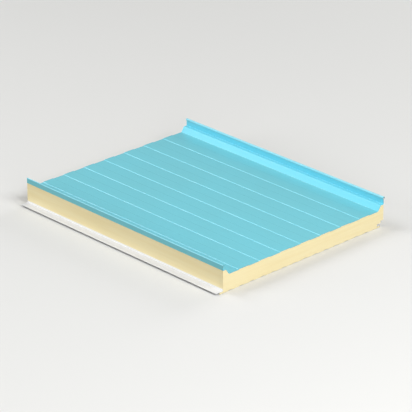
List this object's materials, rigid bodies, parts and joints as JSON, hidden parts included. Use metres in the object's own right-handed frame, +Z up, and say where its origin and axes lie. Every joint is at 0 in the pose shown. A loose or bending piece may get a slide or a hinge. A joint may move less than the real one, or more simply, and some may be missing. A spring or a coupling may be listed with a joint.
{
  "type": "insulated standing seam roof panel",
  "caption": "Foam-cored insulated roof panel: ribbed blue steel weather skin with raised side seams, white grooved steel liner with a hemmed fixing flange and tongue.",
  "frame": {"origin": "middle of the overall width and length, on the plane that the liner rests on", "axes": "+Y along the panel's length, +X across it from the male leg to the female leg, +Z up through the weather skin"},
  "size_m": [1.0444, 1.285, 0.142],
  "materials": {
    "weather_paint": "semi-gloss light cyan blue coil coating on galvanised steel",
    "rigid_foam": "cream closed-cell polyisocyanurate foam, fine matt skin",
    "liner_paint": "satin white coil coating on galvanised steel"
  },
  "bodies": {
    "root": {"outer_skin": "weather_paint", "foam_core": "rigid_foam", "inner_liner": "liner_paint"}
  },
  "joints": []
}
